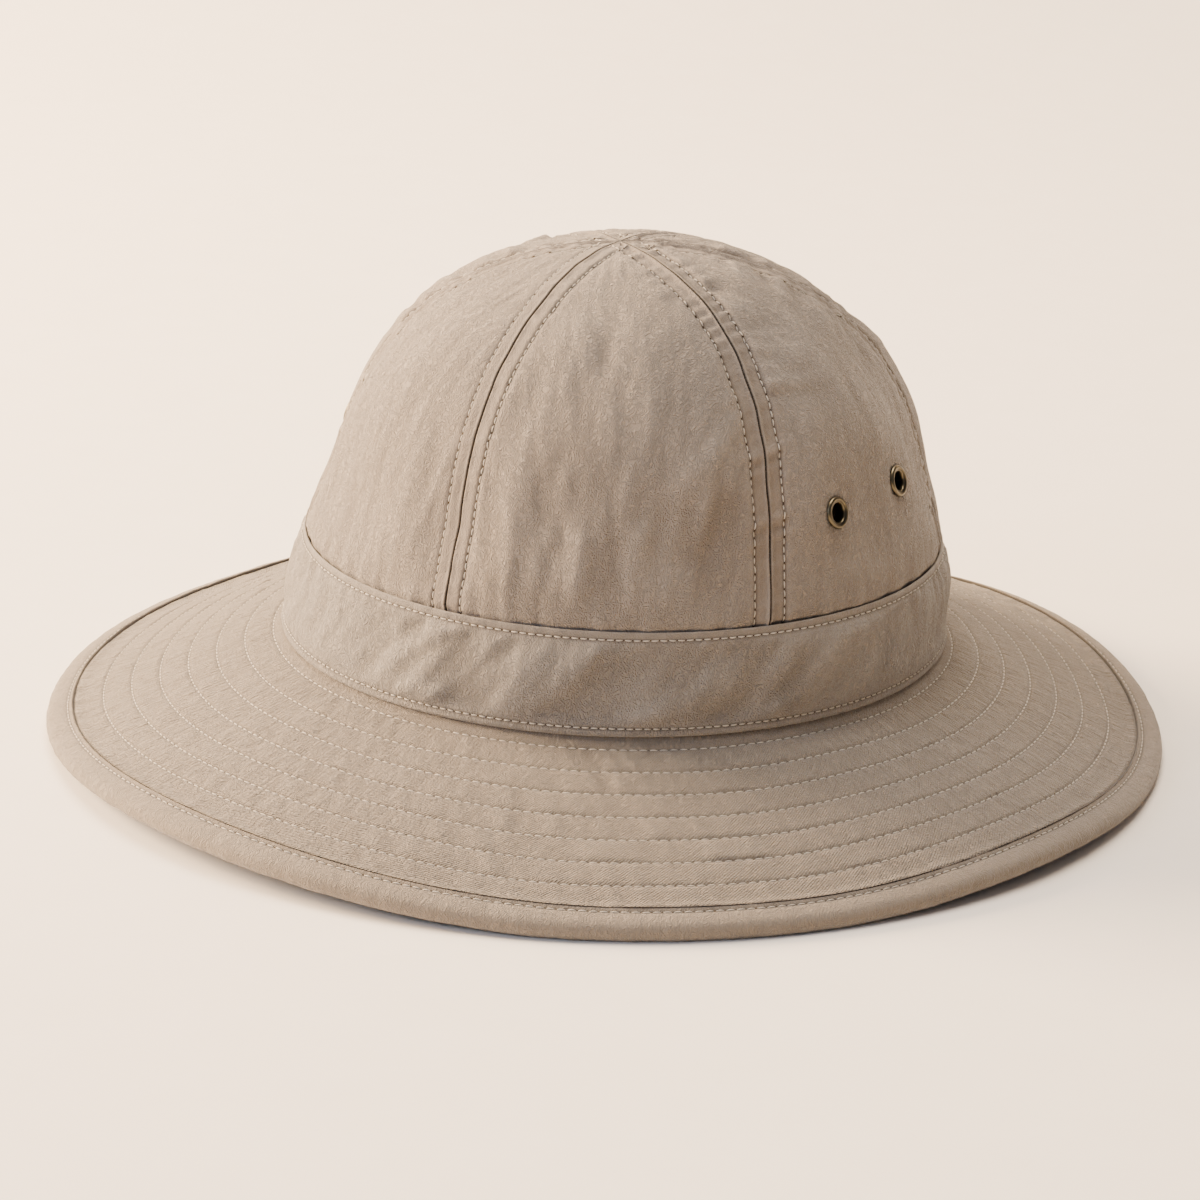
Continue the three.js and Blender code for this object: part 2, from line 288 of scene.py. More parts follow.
def panel_base(panel, across, up):
    """A point on a panel's plain outer face: across is -1 by one seam and 1 by the next,
    past that it lies in the seam itself, and up is the distance above the band's top."""
    radius, height, share = crown_profile(np.interp(up, CROWN_RUN, CLIMBS))
    start, end = seams_of(panel, share)
    dip = SEAM_DIP * across**4 * np.minimum(1, 4 * share) * (1 - share**4)

    # Each face stops half a gap short of the seam, and only the turned-in edge reaches it.
    inset = np.degrees(np.arcsin(np.minimum(SEAM_GAP / 2 / np.maximum(radius, 0.1), 0.9)))
    reach = (end - start) / 2
    aside = np.where(np.abs(across) > 1, np.sign(across) * reach, across * (reach - inset))
    azimuth = (start + end) / 2 + aside
    first, last = (SEAM_WANDER[seam % 360] for seam in PANELS[panel])
    wander = np.where(across < 0, np.interp(up, WANDER_RUN, first), np.interp(up, WANDER_RUN, last))
    azimuth += np.degrees(wander / np.maximum(radius, 12)) * across**6
    azimuth, drifted = drift_seams(azimuth, radius)
    on_dome = np.interp(-drifted, -DOME_RADII, DOME_HEIGHTS)
    height = np.where(radius < APEX_DRIFT_REACH, on_dome, height)
    return hat_point(np.maximum(drifted - dip, 0), height, azimuth)


def half_width_of(panel, up):
    """Half a panel's width at a distance above the band's top."""
    start, end = PANELS[panel]
    radius = crown_profile(np.interp(up, CROWN_RUN, CLIMBS))[0]
    return np.maximum(radius * math.radians(end - start) / 2, 0.05)


def unit(vectors):
    """Each vector at length 1."""
    return vectors / np.maximum(np.linalg.norm(vectors, axis=-1, keepdims=True), 1e-9)


def panel_out(panel, across, up):
    """The way out of a panel's face."""
    turn, step = 0.002, 0.05
    up = np.minimum(up, CROWN_LENGTH - 2 * step)
    aside = panel_base(panel, across + turn, up) - panel_base(panel, across - turn, up)
    rise = panel_base(panel, across, up + step) - panel_base(panel, across, up - step)
    return unit(np.cross(aside, rise))


def brim_line_table():
    """The brim's middle line as a smooth spline through its points: distance run, radius
    and height."""
    knots = np.array([BRIM_LINE[0], *BRIM_LINE, BRIM_LINE[-1]], dtype=float)
    steps = np.linspace(0, 1, 200, endpoint=False)[:, None]
    pieces = []
    for before, start, end, after in zip(knots, knots[1:], knots[2:], knots[3:]):
        leave, arrive = (end - before) / 2, (after - start) / 2
        pieces.append(
            start
            + leave * steps
            + (3 * (end - start) - 2 * leave - arrive) * steps**2
            + (2 * (start - end) + leave + arrive) * steps**3
        )
    line = np.vstack([*pieces, knots[-1:]])
    return run_of(line[:, 0], line[:, 1]), line[:, 0], line[:, 1]


BRIM_RUN, BRIM_RADII, BRIM_HEIGHTS = brim_line_table()
BRIM_LENGTH = BRIM_RUN[-1]
BRIM_WAY_OUT = np.gradient(BRIM_RADII, BRIM_RUN)
BRIM_WAY_UP = np.gradient(BRIM_HEIGHTS, BRIM_RUN)


def brim_point(along, above, azimuth):
    """A point by its distance out from the middle of the brim's edge (negative towards the
    band) and its distance above the brim's middle line."""
    run = np.clip(BRIM_LENGTH + along, 0, BRIM_LENGTH)
    way_out = np.interp(run, BRIM_RUN, BRIM_WAY_OUT)
    way_up = np.interp(run, BRIM_RUN, BRIM_WAY_UP)
    beyond = np.maximum(0, along)
    radius = np.interp(run, BRIM_RUN, BRIM_RADII) + way_out * beyond - way_up * above
    height = np.interp(run, BRIM_RUN, BRIM_HEIGHTS) + way_up * beyond + way_out * above
    return hat_point(radius, height, azimuth, blend(0, BRIM_LENGTH, run))


BAND_SLOPE = (FOOT_RADIUS - BAND_TOP_RADIUS) / (BAND_TOP_HEIGHT - FOOT_HEIGHT)


def band_point(out, height, azimuth):
    """A point of the band by its height and its distance out from the middle of the
    band's thickness."""
    middle = BAND_TOP_RADIUS + BAND_GAP + BAND_THICKNESS / 2
    radius = middle + (BAND_TOP_HEIGHT - height) * BAND_SLOPE
    return hat_point(radius + out, height + out * BAND_SLOPE, azimuth)


# ---- Soft unevenness of sewn cloth ----

# Each layer is a height in millimetres times a pattern whose lumps have these sizes in
# millimetres, and it fades out where the sewing holds the cloth flat.

SMOOTH_AZIMUTH = 32  # where the quilting lies smoothest and the band's folds are deepest


def around(azimuth, radius, across=0):
    """Coordinates for lumps that run round the hat and meet where they started."""
    angle = np.radians(azimuth)
    ring = [radius * np.sin(angle), radius * np.cos(angle), across + 0 * angle]
    return np.stack(ring, axis=-1)


def bell(distance, reach):
    """1 at no distance, and soon 0 past this reach."""
    return np.exp(-((distance / reach) ** 2))


def groove(distance, depth, half_width):
    """The dent that a row of stitches presses into the cloth."""
    return -depth * bell(distance, half_width)


RUMPLE = {  # how slack the cloth is at a panel's foot, and higher up
    "front_left": (1.8, 0.8),
    "side_left": (0.7, 1.0),
    "back_left": (0.9, 0.7),
    "back_right": (0.9, 0.7),
    "side_right": (0.8, 0.6),
    "front_right": (0.8, 0.7),
}

# Folds that stand out by themselves: the panel, the two ends as millimetres from its
# middle and above the band, half the width, and the height.
FOLDS = (
    ("front_left", ((19, 40), (37, 63)), 3.6, 0.9),
    ("front_left", ((25, 21), (31, 33)), 5, -1.4),
    ("front_left", ((-9, 3), (-8, 24)), 2.6, 0.8),
    ("front_left", ((-16, 24), (-13, 42)), 2.4, 0.5),
    ("front_left", ((5, 4), (8, 27)), 3.2, 0.7),
    ("front_left", ((15, 2), (17, 15)), 2.6, 0.6),
    ("front_left", ((-14, 66), (-9, 88)), 3, 0.3),
    ("front_right", ((20, 84), (31, 60)), 4.5, 0.6),
    ("side_left", ((-20, 12), (2, 5)), 4, 0.5),
)

# How strongly each seam gathers the cloth beside it.
SEAM_PUCKER = {0: 0.35, 59: 1.0, 114: 1.0, 180: 0.8, 244: 0.9, 305: 0.8}

ALLOWANCE_RISE = 0.45  # where turned-in cloth lies under a seam's edges
TURN_IN_DEPTH = 1.5  # of a panel's edge, in its seam
TURN_IN_WIDTH = 0.45
BLOUSE = 0.95  # of the crown's cloth over the band's lip
ROW_DENT = 0.36  # along the band's rows
QUILT_DENT = 0.26
PILLOW = 0.18  # between two rows of quilting
BINDING_STEP = 0.85  # the quilting swells before it dives under the binding
BAND_STEP = 0.5  # and where it comes out from under the band
HOLLOW_LIMIT = 0.4  # a hollow of the band's face past it deepens by at most HOLLOW_MORE
HOLLOW_MORE = 0.5


def tucks(points, size, seed, narrow=0.5):
    """Narrow creases, -1 in the middle of each, with soft cloth between them."""
    return -bell(lumps(points, size, seed), narrow)


def ridge(points, start, end, reach):
    """A fold of height 1 between two points, fading over its half width, reach."""
    start, way = np.array(start), np.subtract(end, start)
    share = np.clip((points - start) @ way / (way @ way), 0, 1)
    away = np.linalg.norm(points - start - share[:, None] * way, axis=1)
    return bell(away, reach)


def panel_relief(panel, across, up):
    """How far the cloth of a panel stands off its plain face, how much painted shade darkens
    each point, how high it lies in the crumpling, and how strongly fine crinkles show."""
    start, end = PANELS[panel]
    half_width = half_width_of(panel, up)
    from_seam = (1 - np.abs(across)) * half_width
    seam = np.where(across < 0, start, end % 360)
    share = np.where(across < 0, SEAM_PUCKER[start], SEAM_PUCKER[end % 360])
    base = panel_base(panel, across, up)
    near_tip = np.clip(half_width / 6, 0, 1)
    to_row = from_seam - SEAM_ROW

    # Painted shade: the cloth is darkened along its rows, darkest in its seam and where it goes
    # under the band.
    painted_shade = bell(to_row, 0.44) * near_tip
    painted_shade = np.maximum(painted_shade, 1.3 * (1 - blend(0.1, 0.32, from_seam)))
    painted_shade = np.maximum(painted_shade, 1.1 * (1 - blend(0.1, 0.5, up)))

    # Turned-in cloth lies between a seam and its row of stitches, and each panel's edge
    # rolls down into the seam.
    layers = ALLOWANCE_RISE * (1 - blend(-0.3, 0.9, to_row)) * near_tip
    sewn = groove(to_row, 0.45, 0.5) * near_tip
    fold = np.clip(from_seam / TURN_IN_WIDTH, 0, 1)
    roll = -TURN_IN_DEPTH * (1 - np.sqrt(np.maximum(0, 1 - (1 - fold) ** 2))) * near_tip

    # Tucks cross each seam between its two rows, and puckers fade into the panel.
    slant = up + np.sign(across) * 0.22 * from_seam
    line = np.stack([slant, seam * 17.3, 0 * up], axis=-1)
    strip = blend(0.3, 1.3, from_seam) * (1 - blend(-0.6, 1.4, to_row))
    crossing = (0.95 * tucks(line, 4.4, 3) + 0.3 * lumps(line, 2.4, 4)) * strip * share
    beyond = blend(-0.4, 0.8, to_row) * np.exp(-np.maximum(to_row, 0) / 3.2)
    puckers = 0.45 * lumps(line, (2.5, 1, 1), 8) * beyond * (0.4 + 0.6 * share)

    # The cloth blouses over the band's lip, and lies flat round an eyelet, turned as it is.
    blouse = BLOUSE * blend(0.3, 2.2, up) * (1 - blend(4, 22, up))
    open_cloth = blend(0, 9, to_row) * blend(2, 14, up)
    open_cloth *= 1 - blend(26, 8, CROWN_LENGTH - up)
    at_foot, higher = RUMPLE[panel]
    slack = (at_foot + (higher - at_foot) * blend(20, 50, up)) * open_cloth
    for name, place in EYELETS.items():
        if place[0] == panel:
            centre, way = eyelet_seat(*place)
            near = bell(np.linalg.norm(base - centre, axis=1), 9)
            slack *= 1 - near
            aside = (base - centre) @ unit(np.cross([0, 0, 1], way))
            blouse -= math.tan(math.radians(EYELET_TURN.get(name, 0))) * aside * near

    # Soft hollows and swells in the open cloth, and creases along its height.
    laid = np.stack([across * half_width, up, 0 * up + 0.37 * start], axis=-1)
    broad = 1.2 * slack * lumps(base, (24, 24, 34), 1)
    swells = 0.42 * lumps(laid, (7, 24, 1), 2) + 0.2 * lumps(laid, (3.6, 15, 1), 9)
    swells *= slack
    creases = 0.16 * lumps(laid, (1.9, 10, 1), 5) * blend(0, 3, to_row)
    for place, ends, reach, height in FOLDS:
        if place == panel:
            swells += height * ridge(laid[:, :2], *ends, reach) * open_cloth

    # Near the apex the panels are pulled towards their seams in long folds.
    near_apex = blend(45, 75, up) * np.exp(-np.maximum(to_row, 0) / 32)
    falling = np.stack([(slant + 0.3 * to_row) / 4.8, to_row / 40, 0 * up + seam], axis=-1)
    pulled = 1.7 * lumps(falling, 1, 7) * near_apex * share * blend(0, 2, to_row)
    pulled *= (1 - blend(30, 12, CROWN_LENGTH - up)) * blend(0, 0.6, np.abs(across))
    pulled *= 0.3 if "front" in panel else 1

    # Folds that the band's stitching gathers.
    flutes = 0.6 * lumps(laid, (4.4, 30, 1), 6) * np.exp(-np.maximum(up, 0) / 9)
    crumple = crossing + puckers + swells + creases + flutes + pulled
    hand = 0.35 + 0.65 * blend(0, 3, to_row)
    return layers + sewn + roll + broad + blouse + crumple, painted_shade, crumple, hand


def band_relief(azimuth, height):
    """How far the band's outer face stands off its plain form, then as for a panel."""
    from_lip = BAND_LIP_HEIGHT - height
    from_foot = height - BAND_FOOT_HEIGHT
    ring = around(azimuth, BAND_RADIUS, height)
    rows = groove(from_lip - BAND_TOP_ROW, ROW_DENT, 0.6)
    rows += groove(from_foot - BAND_FOOT_ROW, ROW_DENT, 0.6)
    # Painted shade darkens the cloth along both rows.
    painted_shade = bell(from_lip - BAND_TOP_ROW, 0.4) + bell(from_foot - BAND_FOOT_ROW, 0.4)
    body = blend(BAND_TOP_ROW, BAND_TOP_ROW + 4, from_lip)
    body *= blend(BAND_FOOT_ROW, BAND_FOOT_ROW + 4, from_foot)

    # Leaning folds between the rows, deepest at the front left.
    away = turn_between(azimuth, SMOOTH_AZIMUTH)
    front = 1 - blend(25, 60, away)
    leaning = around(azimuth - 14 + 0.4 * from_lip, BAND_RADIUS, height)
    broad = (1 + 0.4 * front) * lumps(leaning, (19, 19, 16), 11) * body
    swells = 0.45 * lumps(leaning, (8, 8, 13), 12) + 0.12 * lumps(leaning, (4, 4, 9), 16)
    swells *= (1 + 1.2 * front) * body
    creases = 0.06 * lumps(ring, (2.2, 2.2, 7), 15) * body

    # Gathers hang from the upper row and rise from the lower one, deepest at the sides.
    sides = 0.4 + 0.9 * blend(25, 75, away)
    gathers = 0.65 * lumps(ring, (3, 3, 16), 13) * np.exp(-np.maximum(0, from_lip - 2) / 7)
    gathers += 0.4 * lumps(ring, (3.6, 3.6, 12), 14) * np.exp(-np.maximum(0, from_foot - 2) / 4)
    gathers = gathers * sides * blend(1.6, 3.2, from_lip) * blend(1.8, 3.4, from_foot)
    nips = 0.25 * tucks(ring, (4.6, 4.6, 40), 17) * (1 - blend(1.6, 2.6, from_lip))
    lean_in = -0.5 * (1 - blend(0, 7, from_lip))
    crumple = swells + creases + gathers + nips
    hand = 0.4 + 0.6 * blend(BAND_TOP_ROW, BAND_TOP_ROW + 2, from_lip)
    out = rows + 0.25 * body + broad + lean_in + crumple

    # No hollow reaches the band's inner wall.
    past = np.maximum(-HOLLOW_LIMIT - out, 0)
    out = np.maximum(out, -HOLLOW_LIMIT) - HOLLOW_MORE * np.tanh(past / HOLLOW_MORE)
    return out, painted_shade, crumple, hand


def top_radius_of(along):
    """The radius of the brim's upper face at a distance out from the middle of its edge."""
    run = np.clip(BRIM_LENGTH + along, 0, BRIM_LENGTH)
    return np.interp(run, BRIM_RUN, BRIM_RADII) - BRIM_THICKNESS / 2 * np.interp(
        run, BRIM_RUN, BRIM_WAY_UP
    )


ALONG_STEPS = np.linspace(-BRIM_LENGTH, 0, 2000)
ROWS_ALONG = np.interp(QUILT_ROWS, top_radius_of(ALONG_STEPS), ALONG_STEPS)
CHANNEL_EDGES = np.array([-BRIM_LENGTH + 1, *ROWS_ALONG, -BINDING_WIDTH])


def brim_relief(azimuth, along, seed):
    """The quilting of one face of the brim, as for a panel: grooves at its rows, soft
    pillows between them, and radial puckers that differ from channel to channel. The last
    value is how strongly its fine pleats show."""
    channel = np.clip(np.searchsorted(CHANNEL_EDGES, along) - 1, 0, len(CHANNEL_EDGES) - 2)
    inner, outer = CHANNEL_EDGES[channel], CHANNEL_EDGES[channel + 1]
    share = np.clip((along - inner) / (outer - inner), 0, 1)
    to_row = np.min(np.abs(along[:, None] - ROWS_ALONG), axis=1)
    pillow = PILLOW * np.sin(np.pi * share) ** 0.6
    rows = groove(to_row, QUILT_DENT, 0.4)

    # Painted shade: it is darkened along its rows, and darkest where it goes under the binding
    # and the band.
    painted_shade = 0.65 * bell(to_row, 0.32)
    painted_shade = np.maximum(painted_shade, 1.3 * blend(-0.45, -0.05, along + BINDING_WIDTH))
    painted_shade = np.maximum(painted_shade, 1.1 * (1 - blend(1.8, 2.6, BRIM_LENGTH + along)))

    # The crumpling is strongest at the sides and calmer at the back, and the rows, the
    # binding and the band hold the cloth flat beside them.
    middle_radius = EDGE_RADIUS + (inner + outer) / 2
    away = turn_between(azimuth, SMOOTH_AZIMUTH)
    sides = np.minimum(1, away / 70) * (1 - 0.45 * blend(95, 145, away))
    free = blend(0.1, 1.4, to_row) * blend(0, 1.6, -BINDING_WIDTH - along)
    free *= blend(3.5, 7.5, BRIM_LENGTH + along)

    # Short puckers start at the stitches and curve a little as they cross the channel.
    slant = 5 * (share - 0.5) ** 2 + 3.5 * share
    turn = azimuth + np.degrees(slant / middle_radius)
    ring = around(turn, middle_radius, share * 3 + channel * 9.7)
    short = lumps(ring, (1.9, 1.9, 3.0), seed) + 0.5 * lumps(ring, (4, 4, 5), seed + 1)
    reach = 0.45 + 0.55 * np.abs(2 * share - 1)
    puckers = (0.1 + 0.2 * sides) * short * reach * free

    # Wider puffs slant across several channels, offset a little in each.
    drift = azimuth - np.degrees(0.5 * (BRIM_LENGTH + along) / middle_radius)
    wide = around(drift, BRIM_RADIUS, along * 0.35 + channel * 2.6)
    puffs = (0.36 - 0.16 * sides) * lumps(wide, (4.6, 4.6, 9), seed + 2) * free
    broad = 0.4 * lumps(around(azimuth, BRIM_RADIUS, along), (45, 45, 40), seed + 3)
    broad *= blend(0, 12, BRIM_LENGTH + along)
    meets_binding = BINDING_STEP * blend(-9, -6.5, along) * (1 - blend(-6.4, -5.9, along))
    meets_band = BAND_STEP * (1 - blend(1.8, 3.4, BRIM_LENGTH + along))
    crumple = puckers + puffs
    hand = sides * (0.5 + 0.5 * np.abs(2 * share - 1)) * free
    out = pillow + rows + broad + meets_binding + meets_band + crumple
    return out, painted_shade, crumple, hand


def binding_relief(azimuth, around_edge):
    """Fine ribs, a plump turned edge and the dent of its stitches, as for a panel.
    around_edge is the distance over the binding's outer face from its upper inner edge."""
    ring = around(azimuth, EDGE_RADIUS, around_edge)
    ribs = 0.07 * lumps(ring, (1.9, 1.9, 9), 31) + 0.12 * lumps(ring, (7, 7, 12), 32)
    row = groove(around_edge - BINDING_ROW, 0.34, 0.55)
    # Painted shade darkens the cloth along its row.
    painted_shade = bell(around_edge - BINDING_ROW, 0.42)
    plump = 0.3 * blend(BINDING_ROW, BINDING_ROW + 3, around_edge)
    ribs *= blend(0, 1, around_edge)
    return row + plump + ribs, painted_shade, ribs, 0.5 + 0 * painted_shade


# ---- Cloth pieces ----

RING_COLUMNS = 720  # round each ring of cloth

SEAM_STRIP = 7.5  # the part of a panel beside each seam that has fine columns
OPEN_COLUMNS = 29  # across half of the panel between its strips
IN_SEAM = 1.001  # across, for the turned-in edge
HIDDEN_ROWS = (-18, -9, -3, -1.2, -0.5)  # up, under the band

# Round an eyelet's hole the grid is drawn in to its edge, as far out as the first of these
# and less and less out to the second.
HOLE_COLLAR = (0.4, 1.3)


def new_object(name, data):
    """Puts an object with this data into the scene."""
    made = bpy.data.objects.new(name, data)
    bpy.context.scene.collection.objects.link(made)
    return made


def as_mesh(bm, name):
    """A new mesh of what was modelled."""
    mesh = bpy.data.meshes.new(name)
    bm.to_mesh(mesh)
    bm.free()
    return mesh


def write_mesh(mesh, points, cloth_uv, painted_shade, crumple, hand):
    """Puts a grid's points in place, with its weave coordinates in metres and, for the
    finish, what the relief functions say of each point besides its height."""
    mesh.vertices.foreach_set("co", (points * MM).ravel())
    corners = np.empty(len(mesh.loops), dtype=np.int32)
    mesh.loops.foreach_get("vertex_index", corners)
    layer = mesh.uv_layers.new(name="weave")
    layer.uv.foreach_set("vector", (cloth_uv * MM)[corners].ravel())
    for name, values in (("painted_shade", painted_shade), ("crumple", crumple), ("hand", hand)):
        mesh.attributes.new(name, "FLOAT", "POINT").data.foreach_set("value", values)


def flat_grid(name, columns, rows):
    """A flat grid as a mesh, and the column and row of each of its points."""
    bm = bmesh.new()
    bmesh.ops.create_grid(bm, x_segments=columns, y_segments=rows, size=0.5)
    mesh = as_mesh(bm, name)
    points = np.empty(len(mesh.vertices) * 3)
    mesh.vertices.foreach_get("co", points)
    shares = points.reshape(-1, 3)[:, :2] + 0.5
    return mesh, np.round(shares[:, 0] * columns), np.round(shares[:, 1] * rows)


def finish_piece(mesh, material, replaces):
    """Makes a mesh a named piece of the hat that rides on its body."""
    piece = new_object(mesh.name, mesh)
    mesh.materials.append(material)
    mesh.shade_smooth()
    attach(piece, BODY)
    if replaces:
        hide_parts(*replaces)
    return piece


def close_up(mesh):
    """Merges the points that meet and then turns the faces outwards."""
    bm = bmesh.new()
    bm.from_mesh(mesh)
    bmesh.ops.remove_doubles(bm, verts=bm.verts, dist=1e-6)
    bmesh.ops.recalc_face_normals(bm, faces=bm.faces)
    bm.to_mesh(mesh)
    bm.free()


def ring_piece(name, outline, place, material, node):
    """A closed ring of cloth. The grid's columns run round the hat and its rows run round
    the outline of the cloth's section; place gives what write_mesh takes."""
    mesh, column, row = flat_grid(name, RING_COLUMNS, len(outline) - 1)
    azimuth = 360 * column / RING_COLUMNS
    write_mesh(mesh, *place(azimuth, outline[row.astype(int)]))
    close_up(mesh)
    return finish_piece(mesh, material, [node])


def spaced(marks, fine, coarse, reach=1.8):
    """Stations from the first mark to the last: one on every mark, others close together
    near it and wider apart between two marks."""
    stations = [marks[:1]]
    for start, end in zip(marks, marks[1:]):
        line = [0]
        while line[-1] < end - start:
            near = max(0, min(line[-1], end - start - line[-1]))
            line.append(line[-1] + fine + (coarse - fine) * min(1, near / reach))
        stations.append(start + np.array(line[1:]) * (end - start) / line[-1])
    return np.concatenate(stations)


def half_turn(radius, start, steps):
    """Offsets along half a circle, without its two ends."""
    angles = math.radians(start) + np.linspace(0, math.pi, steps + 2)[1:-1]
    return np.stack([radius * np.cos(angles), radius * np.sin(angles)], axis=-1)


def crown_panel(panel, material):
    """One panel: fine columns in the seam strips, wide ones between, and open eyelet holes."""
    near_seam = spaced([0, SEAM_ROW, SEAM_STRIP], 0.17, 0.75)
    columns = 2 * (len(near_seam) + OPEN_COLUMNS)
    in_sight = spaced([0, CROWN_LENGTH - 0.25], 0.5, 1.15, 5)
    run_ups = np.concatenate([[CROWN_RUN[0], *HIDDEN_ROWS], in_sight])
    mesh, column, row = flat_grid(f"crown_cloth_{panel}", columns, len(run_ups) - 1)
    up = run_ups[row.astype(int)]
    half_width = half_width_of(panel, up)
    from_middle = column - columns / 2
    from_edge = columns / 2 - np.abs(from_middle)
    strip = np.minimum(SEAM_STRIP, 0.5 * half_width)
    in_strip = near_seam[np.minimum(from_edge, len(near_seam) - 1).astype(int)]
    beyond = np.maximum(from_edge - len(near_seam) + 1, 0) / (OPEN_COLUMNS + 1)
    from_seam = in_strip / SEAM_STRIP * strip + (half_width - strip) * beyond
    across = np.where(from_edge == 0, IN_SEAM, 1 - from_seam / half_width)
    across *= np.sign(from_middle)
    relief, *wear = panel_relief(panel, across, up)
    base, out = panel_base(panel, across, up), panel_out(panel, across, up)

    # At its seam a panel's edge turns in along the same line as its neighbour's.
    out[from_edge == 0] = unit(base[from_edge == 0] - [0, 0, TURN_IN_HEIGHT])
    points = base + out * relief[:, None]
    weave = np.stack([across * half_width, up], axis=-1)

    # The cloth ends on a circle under each eyelet's rim: the points inside it go, and the
    # nearest ones outside are drawn in to it.
    drop = np.zeros(len(points), dtype=bool)
    for place in EYELETS.values():
        if place[0] != panel:
            continue
        centre, way = eyelet_seat(*place)
        offset = points - centre
        offset -= way * (offset @ way)[:, None]
        distance = np.linalg.norm(offset, axis=1)
        drop |= distance < EYELET_CUT_RADIUS - 0.35
        to_circle = EYELET_CUT_RADIUS - distance
        pull = to_circle * (1 - blend(*HOLE_COLLAR, -to_circle))
        near = (-to_circle < HOLE_COLLAR[1]) & ~drop
        points[near] += (unit(offset) * pull[:, None])[near]
    write_mesh(mesh, points, weave, *wear)
    bm = bmesh.new()
    bm.from_mesh(mesh)
    bm.verts.ensure_lookup_table()
    bmesh.ops.delete(
        bm, geom=[bm.verts[index] for index in np.flatnonzero(drop)], context="VERTS"
    )
    bm.to_mesh(mesh)
    bm.free()
    piece = finish_piece(mesh, material, [f"crown_panel_{panel}"])
    wall = piece.modifiers.new("wall", "SOLIDIFY")
    wall.thickness = CLOTH_THICKNESS * MM
    wall.offset = -1
    return piece


def band_cloth(material):
    """The band: its outer face has the relief, and its back is plain."""
    half = BAND_THICKNESS / 2
    low, high = BAND_FOOT_HEIGHT + half, BAND_LIP_HEIGHT - half
    marks = [low, BAND_FOOT_HEIGHT + BAND_FOOT_ROW, BAND_LIP_HEIGHT - BAND_TOP_ROW, high]
    face = spaced(marks, 0.3, 1.1)
    lip, foot = half_turn(half, 0, 5), half_turn(half, 180, 5)
    back = np.linspace(high, low, 6)
    outline = np.concatenate(
        [
            np.stack([half + 0 * face, face, 1 + 0 * face], axis=-1),
            np.column_stack([lip + [0, high], np.clip(lip[:, 0] / half, 0, 1)]),
            np.stack([-half + 0 * back, back, 0 * back], axis=-1),
            np.column_stack([foot + [0, low], np.clip(foot[:, 0] / half, 0, 1)]),
            [[half, low, 1]],
        ]
    )

    def place(azimuth, section):
        out, height, outer = section.T
        relief, *wear = (part * outer for part in band_relief(azimuth, height))
        points = band_point(out + relief, height, azimuth)
        weave = np.stack([np.radians(azimuth) * BAND_RADIUS, height], axis=-1)
        return points, weave, *wear

    return ring_piece("band_cloth", outline, place, material, "crown_band")


def brim_cloth(material):
    """The brim, quilted on both faces, with its edge inside the binding."""
    half = BRIM_THICKNESS / 2
    marks = [-BRIM_LENGTH, *ROWS_ALONG, -BINDING_WIDTH, -2.5]
    top = spaced(marks, 0.3, 1.35, 2.2)
    under = spaced(marks, 0.8, 6, 3.0)[::-1]
    edge = half_turn(half, 90, 3) * [-1, 1]
    outline = np.concatenate(
        [
            np.stack([top, half + 0 * top], axis=-1),
            edge + [-0.5, 0],
            np.stack([under, -half + 0 * under], axis=-1),
            [[-BRIM_LENGTH, half]],
        ]
    )

    def place(azimuth, section):
        along, above = section.T
        parts = np.zeros((4, len(along)))
        for face, seed in ((1, 21), (-1, 41)):
            here = face * above > 0.9 * half
            parts[:, here] = brim_relief(azimuth[here], along[here], seed)
        relief, *wear = parts
        relief *= 1 - blend(-4.5, -1.5, along)
        points = brim_point(along, above + np.sign(above) * relief, azimuth)
        weave = np.stack([np.radians(azimuth) * BRIM_RADIUS, along], axis=-1)
        return points, weave, *wear

    return ring_piece("brim_cloth", outline, place, material, "brim")


def binding_outline():
    """The binding's section: its outer face from the upper inner edge round to the lower
    one, then back along its inner face. Each row is along, above, the way out of the
    cloth, how much relief it takes and the distance over the outer face."""
    lip = (BINDING_OUTER - BINDING_INNER) / 2
    middle = (BINDING_OUTER + BINDING_INNER) / 2
    flat = spaced([-BINDING_WIDTH, -BINDING_WIDTH + BINDING_ROW, 0], 0.35, 1.6)
    turns = np.linspace(90, -90, 13)[1:-1]
    rows = []
    for along in flat:
        rows.append((along, BINDING_OUTER, 0, 1, 1))
    for turn in np.radians(turns):
        way = (math.cos(turn), math.sin(turn))
        rows.append((BINDING_OUTER * way[0], BINDING_OUTER * way[1], *way, 1))
    for along in flat[::-1]:
        rows.append((along, -BINDING_OUTER, 0, -1, 1))
    for offset in half_turn(lip, -90, 3) * [-1, 1]:
        rows.append((-BINDING_WIDTH + offset[0], -middle + offset[1], 0, -1, 0))
    for along in (-BINDING_WIDTH, 0):
        rows.append((along, -BINDING_INNER, 0, -1, 0))
    for turn in np.radians((-45, 0, 45)):
        way = (math.cos(turn), math.sin(turn))
        rows.append((BINDING_INNER * way[0], BINDING_INNER * way[1], *way, 0))
    for along in (0, -BINDING_WIDTH):
        rows.append((along, BINDING_INNER, 0, 1, 0))
    for offset in half_turn(lip, -90, 4) * [-1, 1]:
        rows.append((-BINDING_WIDTH + offset[0], middle + offset[1], 0, 1, 0))
    rows.append(rows[0])
    outline = np.array(rows)
    over = run_of(outline[:, 0], outline[:, 1])
    return np.column_stack([outline, over])


